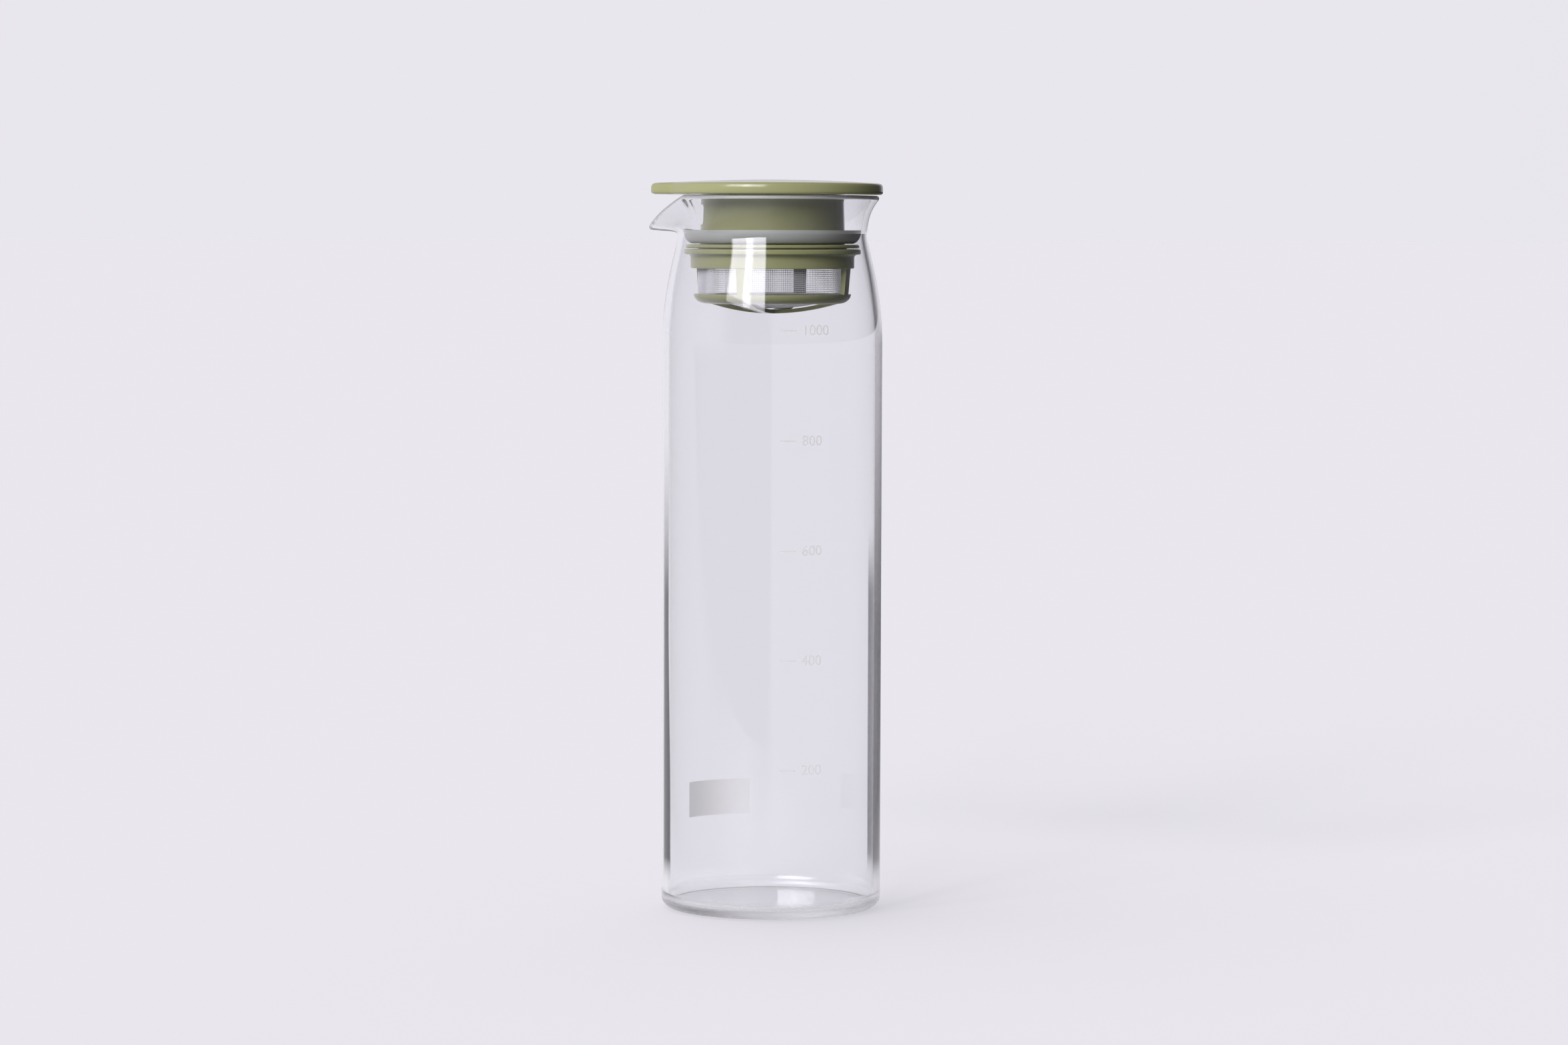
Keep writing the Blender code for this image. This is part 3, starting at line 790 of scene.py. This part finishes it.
class Wires:
    """Square wires gathered into one mesh."""

    def __init__(self):
        self.verts = []
        self.faces = []

    def add(self, stations, closed=False):
        """Each station is a point with two directions across the wire."""
        first = len(self.verts)
        for point, side, rise in stations:
            self.verts += [point + side, point + rise, point - side, point - rise]
        count = len(stations)
        for step in range(count if closed else count - 1):
            here, there = first + 4 * step, first + 4 * ((step + 1) % count)
            for corner in range(4):
                after = (corner + 1) % 4
                self.faces.append((here + corner, here + after, there + after, there + corner))
        if not closed:
            last = first + 4 * (count - 1)
            self.faces.append((first, first + 3, first + 2, first + 1))
            self.faces.append((last, last + 1, last + 2, last + 3))

    def mesh(self, name):
        mesh = bpy.data.meshes.new(name)
        mesh.from_pydata(self.verts, [], self.faces)
        return mesh


def weave_band(wires, radius, first, last):
    """Upright and level wires of a round band between two angles, over and under each other."""
    low, high = BAND_LOW.z, BAND_HIGH.z
    rows = round((high - low) / MESH_PITCH)
    whole = last - first > 2 * math.pi - MESH_PITCH / radius
    columns = 2 * round((last - first) * radius / MESH_PITCH / 2)

    def station(column, row, lean, across):
        angle = first + (last - first) * column / columns
        out = Vector((-math.cos(angle), -math.sin(angle), 0.0))
        along = Vector((math.sin(angle), -math.cos(angle), 0.0))
        wave = lean * math.cos(math.pi * (row + column))
        point = out * (radius + wave * WIRE_RADIUS)
        point.z = low + (high - low) * row / rows
        side = along if across else Vector((0.0, 0.0, 1.0))
        return point, side * WIRE_RADIUS, out * WIRE_RADIUS

    for column in range(columns):
        steps = range(rows * STEPS_PER_PITCH + 1)
        wires.add([station(column, step / STEPS_PER_PITCH, 1.0, True) for step in steps])
    for row in range(1, rows):
        steps = range(columns * STEPS_PER_PITCH) if whole else range(columns * STEPS_PER_PITCH + 1)
        wires.add([station(step / STEPS_PER_PITCH, row, -1.0, False) for step in steps], closed=whole)


def weave_dome(wires, edge):
    """Wires both ways across the domed base, over and under each other."""
    count = int(edge / MESH_PITCH)
    for along, across in (((1, 0), (0, 1)), ((0, 1), (1, 0))):
        sign = 1.0 if along == (1, 0) else -1.0
        for line in range(-count, count + 1):
            offset = line * MESH_PITCH
            reach = int(math.sqrt(max(edge * edge - offset * offset, 0.0)) / MESH_PITCH)
            if reach < 1:
                continue
            stations = []
            for step in range(-reach * STEPS_PER_PITCH, reach * STEPS_PER_PITCH + 1):
                run = step / STEPS_PER_PITCH
                x = along[0] * run * MESH_PITCH + across[0] * offset
                y = along[1] * run * MESH_PITCH + across[1] * offset
                wave = sign * math.cos(math.pi * (run + line)) * WIRE_RADIUS
                sag = RIB_SAG * (1.0 - (x * x + y * y) / (edge * edge))
                z = LEDGE_Z + FIT + 2 * WIRE_RADIUS - sag + wave
                side = Vector((across[0], across[1], 0.0)) * WIRE_RADIUS
                stations.append((Vector((x, y, z)), side, Vector((0.0, 0.0, WIRE_RADIUS))))
            wires.add(stations)


def bent(mesh, turn, height):
    """Wraps a flat drawing, X along and Y up, round the body. A turn of 0 faces the front."""
    radius = BODY_RADIUS + 2 * PRINT_THICKNESS
    for vertex in mesh.vertices:
        angle = turn + vertex.co.x / radius
        reach = radius + vertex.co.z
        vertex.co = (reach * math.sin(angle), -reach * math.cos(angle), height + vertex.co.y)
    return mesh


def flat_plate(width, height, steps):
    """A thin plate, fine enough along X to be bent."""
    bm = bmesh.new()
    rows = []
    for step in range(steps + 1):
        x = width * (step / steps - 0.5)
        corners = ((-1, 0), (1, 0), (1, 1), (-1, 1))
        rows.append([bm.verts.new((x, y * height / 2, z * PRINT_THICKNESS)) for y, z in corners])
    for row, following in zip(rows, rows[1:]):
        for corner in range(4):
            after = (corner + 1) % 4
            bm.faces.new((row[corner], row[after], following[after], following[corner]))
    bm.faces.new(rows[0])
    bm.faces.new(rows[-1])
    return to_mesh("plate", bm)


def digits(value):
    """The digits of a number as a thin flat mesh, starting at X 0."""
    curve = bpy.data.curves.new("digits", "FONT")
    curve.body = str(value)
    curve.size = DIGIT_HEIGHT / DIGIT_SHARE
    curve.extrude = PRINT_THICKNESS / 2
    curve.align_y = "CENTER"
    item = bpy.data.objects.new("digits", curve)
    bpy.context.scene.collection.objects.link(item)
    mesh = bpy.data.meshes.new_from_object(item.evaluated_get(bpy.context.evaluated_depsgraph_get()))
    bpy.data.objects.remove(item, do_unlink=True)
    return mesh


def build_prints():
    """The scale's numbers and ticks, and a bare patch on the back of the body."""
    ink = make_print("scale_ink", 2, MARK_LOWEST, MARK_TOP, SCALE_ALPHA)
    wash = make_print("patch_ink", 0, *PATCH_FADE, PATCH_ALPHA)
    tick_turn = MARK_TURN - (TICK_LENGTH / 2 + TICK_GAP) / BODY_RADIUS
    for number, value in enumerate(MARK_VALUES):
        height = MARK_LOWEST + MARK_STEP * number
        item = link(f"scale_number_{value}", bent(digits(value), MARK_TURN, height), ink)
        place(item, "carafe", "clear_glass")
        tick = bent(flat_plate(TICK_LENGTH, TICK_WIDTH, CORNER_STEPS), tick_turn, height)
        place(link(f"scale_tick_{value}", tick, ink), "carafe", "clear_glass")
    first, last = (math.pi - math.asin(x / BODY_RADIUS) for x in (PATCH_LEFT, PATCH_RIGHT))
    plate = flat_plate((first - last) * BODY_RADIUS, PATCH_HIGH - PATCH_LOW, CURVE_STEPS)
    patch = bent(plate, (first + last) / 2, (PATCH_HIGH + PATCH_LOW) / 2)
    place(link("bare_patch", patch, wash), "carafe", "clear_glass")


# Pieces

def build_pieces():
    """Every piece that stands for a node of the solids."""
    glass = make_glass("clear_glass", clearness=1.0)
    green = make_plastic()
    silicone = make_silicone()
    net = make_net()

    carafe = link("carafe_glass", turned("carafe_glass", carafe_section, spout_angles(), False), glass)
    carafe.data.materials.append(make_glass("matt_glass", MATT_CLEARNESS))
    mark_outer_wall(carafe.data)
    mark_soft_edges(carafe.data)
    place(carafe, "carafe", "clear_glass", "glass_carafe")

    cap = link("lid_dome", turned("lid_dome", cap_section, spout_angles(), False), green)
    place(cap, "lid", "sage_plastic", "lid_cap")

    sleeve = link("lid_sleeve", turned("lid_sleeve", sleeve_section, turn_angles(), False), green)
    size = (SLEEVE_RADIUS, POUR_WIDTH, POUR_LINTEL - POUR_SILL)
    center = (-SLEEVE_RADIUS, 0.0, (POUR_LINTEL + POUR_SILL) / 2)
    pour_cut = link("pour_cut", block("pour_cut", size, center, corner=POUR_CORNER), green)
    combine(sleeve, [pour_cut], "DIFFERENCE")
    place(sleeve, "lid", "sage_plastic", "pouring_sleeve")

    seal = link("seal_lip", turned("seal_lip", seal_section, turn_angles(), True), silicone)
    place(seal, "seal", "grey_silicone", "seal_ring")

    shell = turned("strainer_basket", basket_section, turn_angles(), True)
    basket = link("strainer_basket", shell, green)
    near = (PILLAR_WIDTH + BASKET_RADIUS) / 2
    size = (BASKET_RADIUS, BASKET_RADIUS, WINDOW_HIGH - WINDOW_LOW)
    center = (near, near, (WINDOW_HIGH + WINDOW_LOW) / 2)
    turns = [PILLAR_TURN + 2 * math.pi * number / PILLAR_COUNT for number in range(PILLAR_COUNT)]
    window_cuts = [link("window_cut", block("window_cut", size, center, turn), green) for turn in turns]
    combine(basket, window_cuts, "DIFFERENCE")
    ribs = [link("rib", cross_rib(number), green) for number in range(PILLAR_COUNT // 2)]
    combine(basket, ribs, "UNION")
    place(basket, "strainer", "sage_plastic", "strainer_frame")

    band = Wires()
    weave_band(band, BAND_RADIUS, 0.0, 2 * math.pi)
    weave_band(band, LAP_RADIUS, LAP_FIRST, LAP_LAST)
    place(link("strainer_band_weave", band.mesh("strainer_band_weave"), net), "strainer", "woven_mesh",
          "strainer_side_mesh")
    base = Wires()
    weave_dome(base, RING_BORE - FIT)
    place(link("strainer_base_weave", base.mesh("strainer_base_weave"), net), "strainer", "woven_mesh",
          "strainer_base_mesh")


# Stage

def stage_plane(name, mesh, material):
    mesh.materials.append(material)
    plane = bpy.data.objects.new(name, mesh)
    bpy.context.scene.collection.objects.link(plane)
    return plane


def make_floor():
    """A wide pale floor that glows a little, so that it stays even to the horizon.

    Pieces inside the glass mirror it with painted shade, darker on the side away from the light.
    """
    bm = bmesh.new()
    bmesh.ops.create_circle(bm, cap_ends=True, radius=FLOOR_RADIUS, segments=FLOOR_SEGMENTS)
    bmesh.ops.translate(bm, verts=bm.verts, vec=(0.0, 0.0, -FLOOR_DROP))
    material, tree, shader = new_material("floor")
    path = tree.nodes.new("ShaderNodeLightPath")
    mirrored = math_node(tree, "GREATER_THAN", path.outputs["Glossy Depth"], MIRRORED_DEPTH)
    inside = math_node(tree, "GREATER_THAN", path.outputs["Transmission Depth"], INSIDE_DEPTH)
    far_side = ranged(tree, split_axes(tree, "Object")[0], *FLOOR_FAR_SIDE, True)
    # Painted shade in the floor's reflection, on the side away from the light
    color = blend_colors(tree, multiply(tree, mirrored, inside, far_side), PALE, FLOOR_MIRRORED_SHADE)
    tree.links.new(color, shader.inputs["Base Color"])
    tree.links.new(color, shader.inputs["Emission Color"])
    shader.inputs["Roughness"].default_value = FLOOR_ROUGHNESS
    shader.inputs["Specular IOR Level"].default_value = 0.0
    shader.inputs["Emission Strength"].default_value = FLOOR_GLOW
    floor = stage_plane("floor", to_mesh("floor", bm), material)
    floor.visible_diffuse = False
    floor.visible_glossy = False
    floor.visible_shadow = False


def make_card(name, near, far, fade, glow):
    """A pale card under the floor that lights the pitcher and fades to the front and to the right.

    Neither the camera nor a view through the glass shows it.
    """
    bm = bmesh.new()
    corners = (near, (far[0], near[1]), far, (near[0], far[1]))
    bm.faces.new([bm.verts.new((x, y, -CARD_DROP)) for x, y in corners])
    material, tree, shader = new_material(name)
    shader.inputs["Base Color"].default_value = (0.0, 0.0, 0.0, 1.0)
    shader.inputs["Emission Color"].default_value = (*PALE, 1.0)
    x, y, _ = split_axes(tree, "Object")
    front = ranged(tree, y, near[1], near[1] + fade, 0.0, glow, True)
    right = ranged(tree, x, far[0] - fade, far[0], 1.0, 0.0, True)
    tree.links.new(multiply(tree, front, right), shader.inputs["Emission Strength"])
    card = stage_plane(name, to_mesh(name, bm), material)
    card.visible_camera = False
    card.visible_transmission = False
    card.visible_shadow = False
    return card


def make_world():
    """A room that is pale behind and to the left, with one large softbox to the front left."""
    world = bpy.data.worlds.new("studio")
    bpy.context.scene.world = world
    world.use_nodes = True
    tree = world.node_tree
    x, y, z = split_axes(tree, "Generated")
    azimuth = math_node(tree, "ARCTAN2", x, multiply(tree, y, -1.0))
    side = math_node(tree, "SUBTRACT", multiply(tree, y, ROOM_AHEAD), multiply(tree, x, ROOM_ACROSS))
    path = tree.nodes.new("ShaderNodeLightPath")
    room = blend_values(tree, path.outputs["Is Glossy Ray"], ranged(tree, side, *ROOM_SEEN, True),
                        ranged(tree, side, *ROOM_MIRRORED, True))
    room = multiply(tree, room, ranged(tree, z, *ROOM_UPWARD), ranged(tree, z, *ROOM_DOWNWARD))
    slant = math_node(tree, "ADD", z, multiply(tree, azimuth, BOX_SLANT))
    height = multiply(tree, ranged(tree, slant, *BOX_LOW, True), ranged(tree, z, *BOX_HIGH, True))

    def strip(first, last, blur, glow):
        """The part of the softbox between two azimuths."""
        low, high, soft = (math.radians(angle) for angle in (first, last, blur))
        left = ranged(tree, azimuth, low - soft, low, 0.0, glow, True)
        right = ranged(tree, azimuth, high, high + soft, 1.0, 0.0, True)
        return multiply(tree, left, right, height)

    box = math_node(tree, "ADD", strip(*BOX_SIDES, BOX_GLOW), strip(*CORE_SIDES, CORE_GLOW))
    background = tree.nodes["Background"]
    background.inputs["Color"].default_value = (*ROOM_COLOR, 1.0)
    tree.links.new(math_node(tree, "ADD", room, box), background.inputs["Strength"])


def make_camera():
    data = bpy.data.cameras.new("camera")
    data.sensor_width = SENSOR_WIDTH
    data.lens = FOCAL_PIXELS / PHOTO_WIDTH * SENSOR_WIDTH
    data.clip_end = FLOOR_RADIUS
    camera = bpy.data.objects.new("camera", data)
    bpy.context.scene.collection.objects.link(camera)
    turn = Matrix.Rotation(math.pi / 2 - CAMERA_PITCH, 4, "X") @ Matrix.Rotation(CAMERA_ROLL, 4, "Z")
    camera.matrix_world = Matrix.Translation(CAMERA_PLACE) @ turn
    bpy.context.scene.camera = camera


def set_light_paths():
    """Enough bounces for light to run round inside the glass walls."""
    scene = bpy.context.scene
    scene.view_settings.view_transform = "Standard"
    scene.cycles.use_denoising = True
    scene.cycles.caustics_reflective = False
    scene.cycles.caustics_refractive = False
    scene.cycles.max_bounces = LIGHT_BOUNCES
    scene.cycles.transmission_bounces = LIGHT_BOUNCES
    scene.cycles.glossy_bounces = LIGHT_BOUNCES
    scene.cycles.transparent_max_bounces = CLEAR_BOUNCES


build_pieces()
build_prints()
make_floor()
make_card("table", TABLE_LOW, TABLE_HIGH, TABLE_FADE, TABLE_GLOW)
make_card("fill", FILL_LOW, FILL_HIGH, FILL_FADE, FILL_GLOW).visible_glossy = False
make_world()
make_camera()
set_light_paths()
